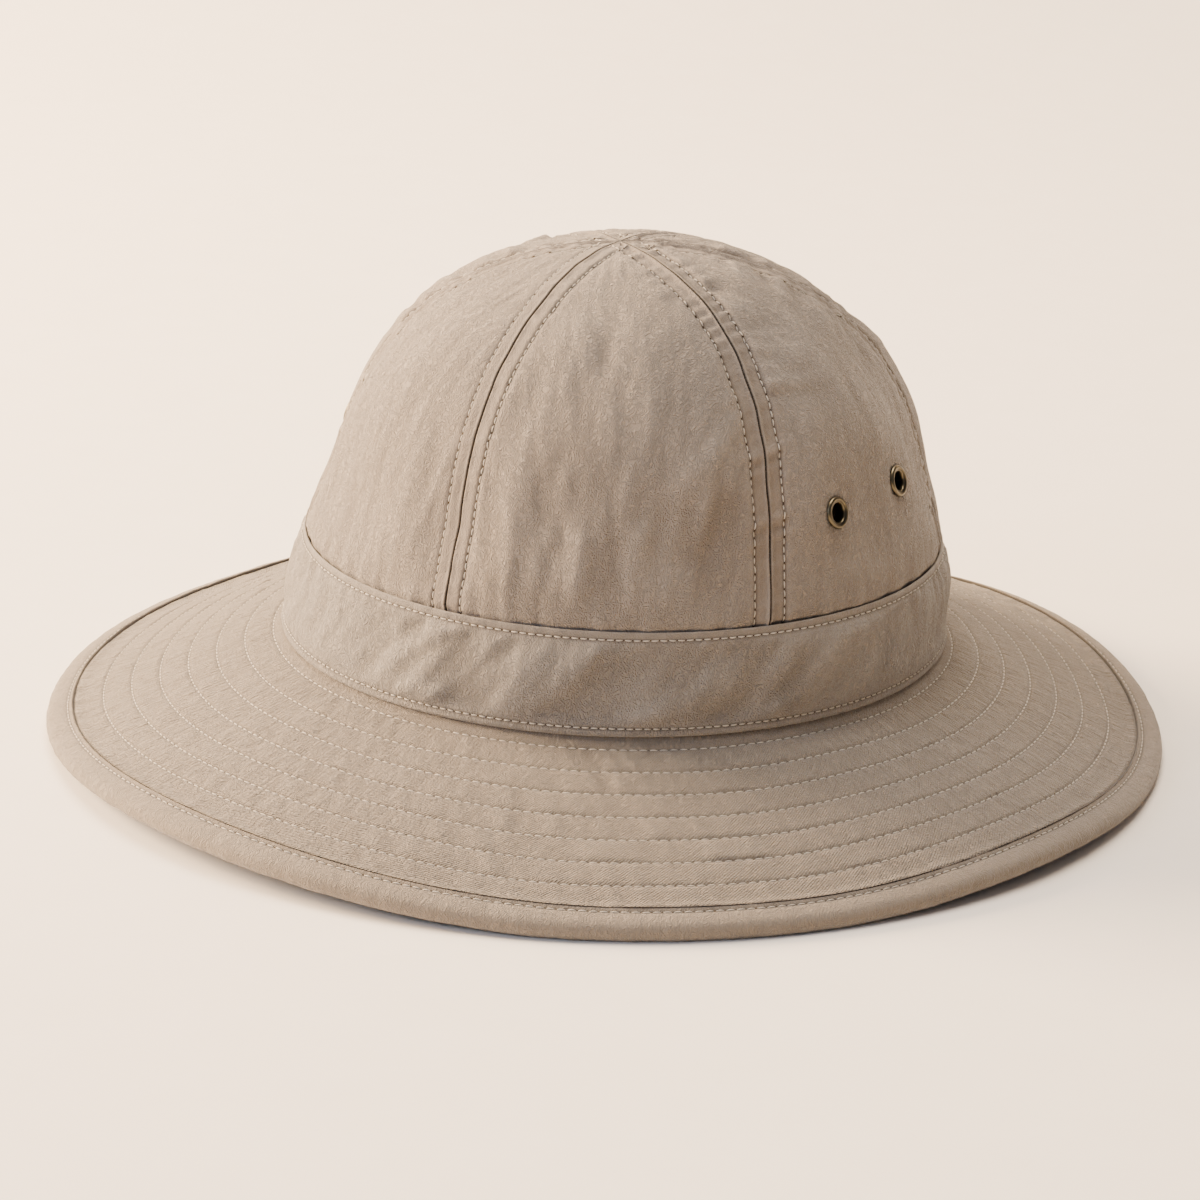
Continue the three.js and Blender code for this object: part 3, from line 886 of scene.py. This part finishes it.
def binding_cloth(material):
    """The cloth strip folded round the brim's edge."""
    outline = binding_outline()

    def place(azimuth, section):
        along, above, way_out, way_up, takes, over = section.T
        relief, painted_shade, *wear = (part * takes for part in binding_relief(azimuth, over))
        # Painted shade: the cloth inside the fold gets the darkest shade.
        painted_shade = np.where(takes == 0, 1.2, painted_shade)  # dark inside the fold
        points = brim_point(along + way_out * relief, above + way_up * relief, azimuth)
        weave = np.stack([np.radians(azimuth) * EDGE_RADIUS, over], axis=-1)
        return points, weave, painted_shade, *wear

    return ring_piece("binding_cloth", outline, place, material, "brim_binding")


# ---- Eyelets ----


def eyelet_seat(panel, azimuth, climb):
    """Where an eyelet sits on its panel's plain face, and the way out of the cloth."""
    up = np.interp(climb, CLIMBS, CROWN_RUN)
    start, end = seams_of(panel, crown_profile(climb)[2])
    across = np.array([(azimuth - (start + end) / 2) / ((end - start) / 2)])
    return panel_base(panel, across, up)[0], panel_out(panel, across, up)[0]


def eyelet(name, place, material):
    """A pressed eyelet, spun from one profile of radius and height over the cloth: from
    the washer inside, up past the cut edge of the cloth, over the rolled rim and down the
    barrel."""
    hole, rim = EYELET_HOLE_RADIUS, EYELET_RADIUS
    profile = [
        (rim - 0.5, -2.4), (rim, -2.2), (rim, -1.7), (3.4, -1.5), (3.3, 0.2),
        (rim - 0.15, 0.1), (rim, 0.25), (rim, 0.5), (rim - 0.22, 0.86), (rim - 0.6, 1.05),
        (rim - 0.95, 1.0), (rim - 1.2, 0.8), (rim - 1.32, 0.72), (rim - 1.5, 0.76),
        (hole + 0.12, 0.62), (hole, 0.3), (hole, -0.6), (hole, -1.6), (hole + 0.1, -2.3),
        (hole + 0.4, -2.5), (rim - 0.5, -2.4),
    ]
    bm = bmesh.new()
    ring = [bm.verts.new((radius * MM, 0, height * MM)) for radius, height in profile[:-1]]
    edges = [bm.edges.new(pair) for pair in zip(ring, ring[1:] + ring[:1])]
    bmesh.ops.spin(
        bm, geom=ring + edges, angle=2 * math.pi, steps=48, axis=(0, 0, 1),
        cent=(0, 0, 0), use_merge=True,
    )
    bmesh.ops.remove_doubles(bm, verts=bm.verts, dist=1e-6)
    bmesh.ops.recalc_face_normals(bm, faces=bm.faces)
    centre, way = eyelet_seat(*place)
    turn = Vector(way).to_track_quat("Z", "Y").to_matrix()
    turn = Quaternion((0, 0, 1), math.radians(EYELET_TURN.get(name, 0))).to_matrix() @ turn
    bmesh.ops.rotate(bm, verts=bm.verts, cent=(0, 0, 0), matrix=turn)
    bmesh.ops.translate(bm, verts=bm.verts, vec=Vector(centre * MM))
    mesh = as_mesh(bm, f"eyelet_rim_{name}")
    return finish_piece(mesh, material, [f"eyelet_{name}"])


# ---- Stitches ----


def stitch_template(sides, rounds):
    """One stitch of thread as a low-poly grain along X, from -1 to 1."""
    bm = bmesh.new()
    bmesh.ops.create_uvsphere(bm, u_segments=sides, v_segments=rounds, radius=1)
    bmesh.ops.rotate(
        bm, verts=bm.verts, cent=(0, 0, 0),
        matrix=Quaternion((0, 1, 0), math.pi / 2).to_matrix(),
    )
    return as_mesh(bm, "stitch")


def stitch_line(points, outs, pitch):
    """Seats of stitches along a line of points: centres, ways along and ways out."""
    steps = np.linalg.norm(np.diff(points, axis=0), axis=1)
    run = np.concatenate([[0], np.cumsum(steps)])
    count = max(1, round(run[-1] / pitch))
    marks = (np.arange(count) + 0.5) * run[-1] / count

    def at(values, where):
        """Values of the line's points at these distances along it."""
        return np.stack([np.interp(where, run, values[:, axis]) for axis in range(3)], axis=-1)

    reach = 0.3 * pitch
    ahead = at(points, np.minimum(marks + reach, run[-1]))
    behind = at(points, np.maximum(marks - reach, 0))
    return at(points, marks), unit(ahead - behind), unit(at(outs, marks))


def sew(name, lines, pitch, material, width=0.42, height=0.34, grain_of=(6, 5), seed=5):
    """Joins all the stitches of some rows into one piece: one template, repeated by an
    array and laid along each row, with its ends sunk into the cloth. Their length and
    direction differ a little, as hand-guided sewing does."""
    centres, along, out = (np.concatenate(part) for part in zip(*lines))
    count = len(centres)
    holder = new_object(name, stitch_template(*grain_of))
    array = holder.modifiers.new("rows", "ARRAY")
    array.count = count
    array.use_relative_offset = False
    array.use_constant_offset = True
    array.constant_offset_displace = (3, 0, 0)
    evaluated = holder.evaluated_get(bpy.context.evaluated_depsgraph_get())
    mesh = bpy.data.meshes.new_from_object(evaluated)
    grain = np.array([vertex.co[:] for vertex in holder.data.vertices])
    bpy.data.objects.remove(holder)
    mesh.name = name

    random = np.random.RandomState(seed)
    side = unit(np.cross(out, along))
    swing = random.uniform(-0.06, 0.06, (count, 1))
    along = unit(along + side * swing)
    side = unit(np.cross(out, along))
    length = pitch * random.uniform(0.86, 0.95, (count, 1, 1))
    x, y, z = grain[:, 0], grain[:, 1], grain[:, 2]
    rise = 0.16 * height - 0.3 * np.abs(x) ** 3
    points = (
        centres[:, None]
        + along[:, None] * x[None, :, None] * length / 2
        + side[:, None] * (y * width / 2)[None, :, None]
        + out[:, None] * (z * height / 2 + rise)[None, :, None]
    )
    mesh.vertices.foreach_set("co", (points.reshape(-1, 3) * MM).ravel())
    mesh.update()
    return finish_piece(mesh, material, None)


def paint_needle_hole_shade(name, lines, pitch, material):
    """Painted shade: dark dimples where the thread of each row dives through the cloth, half a
    stitch away from the middle of every stitch, standing for the shade in each needle hole."""
    sink, length, width, height = 0.13, 0.42 * pitch, 0.42, 0.26
    holes = [
        (centres - along * pitch / 2 - out * sink, along, out) for centres, along, out in lines
    ]
    return sew(name, holes, length, material, width, height, (4, 3))


def seam_lines():
    """Two rows beside every crown seam, one on each panel, up to where they meet."""
    lines = []
    for panel, (start, end) in PANELS.items():
        up = np.linspace(0.6, CROWN_LENGTH - 1, 900)
        radius = crown_profile(np.interp(up, CROWN_RUN, CLIMBS))[0]
        turn = 2 * np.arcsin(np.minimum(1, SEAM_ROW / radius)) / math.radians(end - start)
        up, turn = up[turn < 1.9], turn[turn < 1.9]
        for side in (-1, 1):
            across = side * (1 - turn)
            out = panel_out(panel, across, up)
            relief = panel_relief(panel, across, up)[0]
            points = panel_base(panel, across, up) + out * (relief + THREAD_RISE)[:, None]
            lines.append(stitch_line(points, out, SEAM_PITCH))
    return lines


RING = np.linspace(0, 360, 1441)


def ring_line(place, pitch, step=0.05):
    """A row round the hat; place(out) gives its points a little further out each time."""
    points = place(0)
    return stitch_line(points, unit(place(step) - points), pitch)


def band_lines():
    """A row at each edge of the band."""
    lines = []
    for height in (BAND_LIP_HEIGHT - BAND_TOP_ROW, BAND_FOOT_HEIGHT + BAND_FOOT_ROW):
        relief = band_relief(RING, height + 0 * RING)[0] + THREAD_RISE + BAND_THICKNESS / 2

        def place(out, relief=relief, height=height):
            return band_point(relief + out, height + 0 * RING, RING)

        lines.append(ring_line(place, SEAM_PITCH))
    return lines


def quilt_lines(face, seed):
    """Rows on the upper (1) or lower (-1) face of the brim."""
    lines = []
    for along in ROWS_ALONG:
        relief = brim_relief(RING, along + 0 * RING, seed)[0]
        relief += QUILT_THREAD_RISE + BRIM_THICKNESS / 2

        def place(out, relief=relief, along=along):
            return brim_point(along + 0 * RING, face * (relief + out), RING)

        lines.append(ring_line(place, BRIM_PITCH))
    return lines


def binding_lines():
    """The row that holds the binding on."""
    relief = binding_relief(RING, BINDING_ROW + 0 * RING)[0] + THREAD_RISE + BINDING_OUTER

    def place(out):
        return brim_point(BINDING_ROW - BINDING_WIDTH + 0 * RING, relief + out, RING)

    return [ring_line(place, BRIM_PITCH)]


# ---- Finishes ----

# A Mix node's colours go in at 6 and 7 and come out at 2.


def linear(code):
    """An sRGB hex colour as linear RGBA."""
    parts = [int(code[index : index + 2], 16) / 255 for index in (1, 3, 5)]
    parts = [part / 12.92 if part <= 0.04045 else ((part + 0.055) / 1.055) ** 2.4 for part in parts]
    return (*parts, 1)


def new_finish(name, **sockets):
    """A material whose shader takes these plain socket values."""
    finish = bpy.data.materials.new(name)
    finish.use_nodes = True
    shader = finish.node_tree.nodes["Principled BSDF"]
    for socket, value in sockets.items():
        shader.inputs[socket.replace("_", " ")].default_value = value
    return finish, shader


def add(finish, kind, inputs=None, **options):
    """Adds a shader node. An input is a value or another node's output."""
    tree = finish.node_tree
    made = tree.nodes.new("ShaderNode" + kind)
    for option, value in options.items():
        setattr(made, option, value)
    for socket, value in (inputs or {}).items():
        if isinstance(value, bpy.types.NodeSocket):
            tree.links.new(value, made.inputs[socket])
        else:
            made.inputs[socket].default_value = value
    return made


def feed(finish, shader, socket, source):
    """Links a node's output to one of the shader's sockets."""
    finish.node_tree.links.new(source, shader.inputs[socket])


def uneven(finish, place, size, detail=2, roughness=0.5):
    """A soft random pattern whose lumps are this many millimetres across, up and through."""
    scaled = add(finish, "Mapping", {"Vector": place, "Scale": [1000 / part for part in size]})
    made = add(
        finish,
        "TexNoise",
        {"Vector": scaled.outputs[0], "Scale": 1, "Detail": detail, "Roughness": roughness},
    )
    return made.outputs["Fac"]


def cotton(name, dark, light, worn, thread=0.8, twill=False, strokes=(0.62, 1.5), dented=0.3):
    """Washed cotton: a close weave with a crinkled, brushed hand. The dye is uneven. The high
    spots are paler and the hollows darker, partly rubbed wear and partly painted light and
    shade on the crumpling, and painted shade darkens the sewn rows and seams. The quilted
    twill also has fine pleats across its channels. Its threads, its crinkles (width and
    length) and how deep its dents are come in millimetres."""
    finish, shader = new_finish(
        name, Roughness=0.9, Sheen_Weight=0.25, Sheen_Roughness=0.5, Specular_IOR_Level=0.25
    )
    weave_place = add(finish, "UVMap", uv_map="weave").outputs["UV"]
    solid_place = add(finish, "TexCoord").outputs["Object"]
    crumple = add(finish, "Attribute", attribute_name="crumple").outputs["Fac"]
    painted_shade = add(finish, "Attribute", attribute_name="painted_shade").outputs["Fac"]
    hand = add(finish, "Attribute", attribute_name="hand").outputs["Fac"]

    # Wandering grain: the weave coordinates drift by a millimetre or so, so that the
    # crinkles curl and none runs straight.
    drift = add(finish, "TexNoise", {"Vector": weave_place, "Scale": 1 / (3 * MM), "Detail": 1})
    drift = add(
        finish,
        "VectorMath",
        {0: drift.outputs["Color"], 1: (0.5, 0.5, 0.5)},
        operation="SUBTRACT",
    )
    drift = add(finish, "VectorMath", {0: drift.outputs[0], "Scale": 3.6 * MM}, operation="SCALE")
    grain = add(finish, "VectorMath", {0: weave_place, 1: drift.outputs[0]}).outputs[0]

    # Crinkles: thin raised creases that run along the grain, and dents a few millimetres
    # wide.
    fine = uneven(finish, grain, (*strokes, 1), 1)
    fine = add(finish, "Math", {0: fine, 1: 0.5}, operation="SUBTRACT").outputs[0]
    fine = add(finish, "Math", {0: fine}, operation="ABSOLUTE").outputs[0]
    fine = add(
        finish, "MapRange",
        {"Value": fine, "From Min": 0, "From Max": 0.11, "To Min": 1, "To Max": 0},
        interpolation_type="SMOOTHSTEP",
    ).outputs["Result"]
    dents = uneven(finish, weave_place, (0.9, 11, 1) if twill else (2.8, 9, 4), 1, 0.4)
    if twill:
        pleats = add(finish, "MapRange", {"Value": dents, "From Min": 0.25, "From Max": 0.75})
        dents = add(
            finish, "Math", {0: pleats.outputs["Result"], 1: hand}, operation="MULTIPLY"
        ).outputs[0]
    else:
        fine = add(finish, "Math", {0: fine, 1: hand}, operation="MULTIPLY").outputs[0]

    # The weave, drawn a little coarser than its threads so that it shows.
    turns = 2 * math.pi / (thread * MM)
    split = add(finish, "SeparateXYZ", {0: weave_place})
    angles = [
        add(finish, "Math", {0: split.outputs[axis], 1: turns}, operation="MULTIPLY").outputs[0]
        for axis in (0, 1)
    ]
    if twill:
        slope = add(finish, "Math", {0: angles[0], 1: angles[1]}, operation="ADD").outputs[0]
        weave = add(finish, "Math", {0: slope}, operation="SINE").outputs[0]
    else:
        waves = [add(finish, "Math", {0: angle}, operation="SINE").outputs[0] for angle in angles]
        weave = add(finish, "Math", {0: waves[0], 1: waves[1]}, operation="MULTIPLY").outputs[0]

    # Dye: clouds of about 25 mm and mottling of about 3 mm, both faint.
    clouds = uneven(finish, solid_place, (25, 25, 25))
    mottle = uneven(finish, solid_place, (3, 3, 4), 2, 0.6)
    dye = add(finish, "Math", {0: mottle, 1: 0.5, 2: clouds}, operation="MULTIPLY_ADD").outputs[0]
    dye = add(finish, "MapRange", {"Value": dye, "From Min": 0.45, "From Max": 1.05})
    colour = add(
        finish,
        "Mix",
        {0: dye.outputs["Result"], 6: linear(dark), 7: linear(light)},
        data_type="RGBA",
    ).outputs[2]

    # Wear and painted light: crests of strokes, dents and folds are paler and hollows darker,
    # partly from rubbing and partly as painted light and shade on the relief.
    high = add(finish, "Math", {0: fine, 1: 0.45, 2: crumple}, operation="MULTIPLY_ADD").outputs[0]
    high = add(finish, "Math", {0: dents, 1: 0.35, 2: high}, operation="MULTIPLY_ADD").outputs[0]
    if twill:
        high = add(finish, "Math", {0: weave, 1: 0.2, 2: high}, operation="MULTIPLY_ADD").outputs[0]
    high = add(finish, "MapRange", {"Value": high, "From Min": -0.5, "From Max": 1.1})
    wear_and_painted_light = add(finish, "Math", {0: high.outputs["Result"], 1: 0.65}, operation="MULTIPLY").outputs[0]
    colour = add(finish, "Mix", {0: wear_and_painted_light, 6: colour, 7: linear(worn)}, data_type="RGBA").outputs[2]

    # Painted shade: the colour darkens towards near-black brown along sewn rows, in seams,
    # under the band and binding and inside the binding's fold, where shade falls.
    sunk = add(finish, "Math", {0: painted_shade, 1: 0.78}, operation="MULTIPLY").outputs[0]
    colour = add(
        finish, "Mix", {0: sunk, 6: colour, 7: linear("#231E19")}, data_type="RGBA"
    ).outputs[2]
    feed(finish, shader, "Base Color", colour)

    bump = add(finish, "Bump", {"Height": weave, "Distance": (0.08 if twill else 0.03) * MM})
    for height, depth in ((fine, 0.2 if twill else 0.33), (dents, dented)):
        bump = add(
            finish, "Bump", {"Height": height, "Distance": depth * MM, "Normal": bump.outputs[0]}
        )
    feed(finish, shader, "Normal", bump.outputs[0])
    return finish


def mottled(name, lump, detail, dark, light, **sockets):
    """A finish of two shades, mixed in lumps about this many millimetres wide. The pattern
    is given too, for what else it shapes."""
    finish, shader = new_finish(name, **sockets)
    place = add(finish, "TexCoord").outputs["Object"]
    pattern = add(
        finish, "TexNoise", {"Vector": place, "Scale": 1 / (lump * MM), "Detail": detail}
    ).outputs["Fac"]
    colour = add(
        finish, "Mix", {0: pattern, 6: linear(dark), 7: linear(light)}, data_type="RGBA"
    ).outputs[2]
    feed(finish, shader, "Base Color", colour)
    return finish, shader, pattern


def sewing_thread():
    """Spun cotton thread, paler than the cloth, with the soft lustre of its twist."""
    finish, shader, plies = mottled(
        "sewing_thread", 0.9, 1, "#ADA294", "#CAC0B2",
        Roughness=0.7, Sheen_Weight=0.3, Specular_IOR_Level=0.35,
    )
    bump = add(finish, "Bump", {"Height": plies, "Distance": 0.1 * MM, "Strength": 0.5})
    feed(finish, shader, "Normal", bump.outputs[0])
    return finish


def needle_shade():
    """Painted shade for the needle holes: a dark finish, with a trace of the fibre's fuzz."""
    return mottled(
        "needle_hole_painted_shade", 0.6, 2, "#2E2620", "#574A3E", Roughness=1, Specular_IOR_Level=0.1
    )[0]


def antique_brass():
    """Stamped brass, darkened by age in its hollows and rubbed bright on its crest."""
    finish, shader = new_finish("antique_brass", Metallic=1, Roughness=0.34)
    place = add(finish, "TexCoord").outputs["Object"]
    tarnish = add(
        finish, "TexNoise", {"Vector": place, "Scale": 1 / (2.2 * MM), "Detail": 3}
    ).outputs["Fac"]
    worn = add(finish, "NewGeometry").outputs["Pointiness"]
    worn = add(finish, "MapRange", {"Value": worn, "From Min": 0.47, "From Max": 0.56})
    mixed = add(
        finish, "Math", {0: tarnish, 1: 0.5, 2: worn.outputs["Result"]}, operation="MULTIPLY_ADD"
    )
    colour = add(
        finish,
        "Mix",
        {0: mixed.outputs[0], 6: linear("#28241D"), 7: linear("#655D4B")},
        data_type="RGBA",
    ).outputs[2]
    feed(finish, shader, "Base Color", colour)
    bump = add(finish, "Bump", {"Height": tarnish, "Distance": 0.05 * MM, "Strength": 0.4})
    feed(finish, shader, "Normal", bump.outputs[0])
    return finish


def studio_paper():
    """Matt warm-white paper with the faintest mottling."""
    return mottled(
        "studio_paper", 20, 4, "#F3EBE1", "#F7F0E8", Roughness=0.95, Specular_IOR_Level=0.2
    )[0]


# ---- Camera, light and floor ----

VIEW_AZIMUTH = 32.3
VIEW_ELEVATION = 18.95
VIEW_DISTANCE = 1166
VIEW_ROLL = 0.028  # radians
LENS = 120

VIEW_ANGLE = math.radians(VIEW_AZIMUTH)
RIGHT = Vector((math.cos(VIEW_ANGLE), math.sin(VIEW_ANGLE), 0))
AHEAD = Vector((-math.sin(VIEW_ANGLE), math.cos(VIEW_ANGLE), 0))
UP = Vector((0, 0, 1))
TARGET = RIGHT * -2.245 + UP * 37.117


def place_camera():
    """A long lens that looks down at the hat from its front left."""
    fall = math.radians(VIEW_ELEVATION)
    look = AHEAD * math.cos(fall) - UP * math.sin(fall)
    camera = new_object("camera", bpy.data.cameras.new("camera"))
    camera.data.lens = LENS
    camera.data.sensor_width = 36
    camera.data.clip_start, camera.data.clip_end = 0.05, 50
    camera.location = (TARGET - look * VIEW_DISTANCE) * MM
    camera.rotation_mode = "QUATERNION"
    camera.rotation_quaternion = look.to_track_quat("-Z", "Y") @ Quaternion((0, 0, 1), VIEW_ROLL)
    bpy.context.scene.camera = camera


def place_light(name, way, distance, size, power, colour):
    """A square soft light that looks at the hat. Its distance and size are in metres and
    its power in watts."""
    lamp = bpy.data.lights.new(name, "AREA")
    lamp.size, lamp.energy, lamp.color = size, power, linear(colour)[:3]
    light = new_object(name, lamp)
    light.location = way.normalized() * distance + UP * 0.06
    light.rotation_mode = "QUATERNION"
    light.rotation_quaternion = (-way).to_track_quat("-Z", "Y")


def studio_sweep(material):
    """A paper floor, in metres, that curves up into a wall behind the hat."""
    width, length, in_front = 10, 9, 3
    start, bend = 0.9, 0.8  # where the floor starts to turn up, and its radius there
    columns, rows = 8, 60
    mesh, column, row = flat_grid("studio_sweep", columns, rows)
    run = row / rows * length - in_front
    turned = np.clip((run - start) / bend, 0, math.pi / 2)
    rest = np.maximum(run - start - bend * math.pi / 2, 0)
    ahead = np.minimum(run, start) + bend * np.sin(turned)
    up = bend * (1 - np.cos(turned)) + rest
    aside = (column / columns - 0.5) * width
    axes = np.array([RIGHT[:], AHEAD[:], UP[:]])
    points = np.stack([aside, ahead, up], axis=-1) @ axes
    mesh.vertices.foreach_set("co", points.ravel())
    mesh.materials.append(material)
    mesh.shade_smooth()
    new_object("studio_sweep", mesh)


def light_studio():
    """A warm window on the left, a broad ceiling, a cool fill and an even surround."""
    place_light("window", RIGHT * -0.95 + AHEAD * 0.3 + UP * 0.39, 1.9, 0.95, 236, "#FFDCAE")
    place_light("ceiling", AHEAD * 0.18 + UP, 2.0, 1.4, 76, "#FFEDD8")
    place_light("room", RIGHT * -0.9 - AHEAD * 0.6 + UP * 0.5, 1.9, 0.8, 18, "#D8E6FF")
    world = bpy.data.worlds.new("studio")
    world.use_nodes = True
    background = world.node_tree.nodes["Background"]
    background.inputs["Color"].default_value = linear("#E4EBFB")
    background.inputs["Strength"].default_value = 0.19
    bpy.context.scene.world = world


# ---- The hat ----

place_camera()
light_studio()
studio_sweep(studio_paper())

crown_cotton = cotton("washed_crown_cotton", "#7B7065", "#80756A", "#9B9085")
band_cotton = cotton("washed_band_cotton", "#7A7269", "#7F776E", "#9A928A")
brim_cotton = cotton(
    "quilted_brim_twill", "#776C60", "#7C7165", "#958A7D",
    thread=0.9, twill=True, strokes=(0.62, 1.8), dented=0.6,
)
binding_cotton = cotton(
    "folded_binding_cotton", "#756A5E", "#7B7064", "#968B7E", strokes=(0.65, 2.4), dented=0.2
)
thread_finish = sewing_thread()
shade_finish = needle_shade()
brass_finish = antique_brass()

for panel_name in PANELS:
    crown_panel(panel_name, crown_cotton)
band_cloth(band_cotton)
brim_cloth(brim_cotton)
binding_cloth(binding_cotton)
for eyelet_name, eyelet_place in EYELETS.items():
    eyelet(eyelet_name, eyelet_place, brass_finish)

rows_of_stitches = (
    ("crown_topstitching", seam_lines(), SEAM_PITCH),
    ("band_stitching", band_lines(), SEAM_PITCH),
    ("brim_quilting", quilt_lines(1, 21), BRIM_PITCH),
    ("brim_under_quilting", quilt_lines(-1, 41), BRIM_PITCH),
    ("binding_stitching", binding_lines(), BRIM_PITCH),
)
for seed, (stitch_name, lines, pitch) in enumerate(rows_of_stitches):
    sew(stitch_name, lines, pitch, thread_finish, seed=seed)
    paint_needle_hole_shade(f"{stitch_name}_hole_shade", lines, pitch, shade_finish)
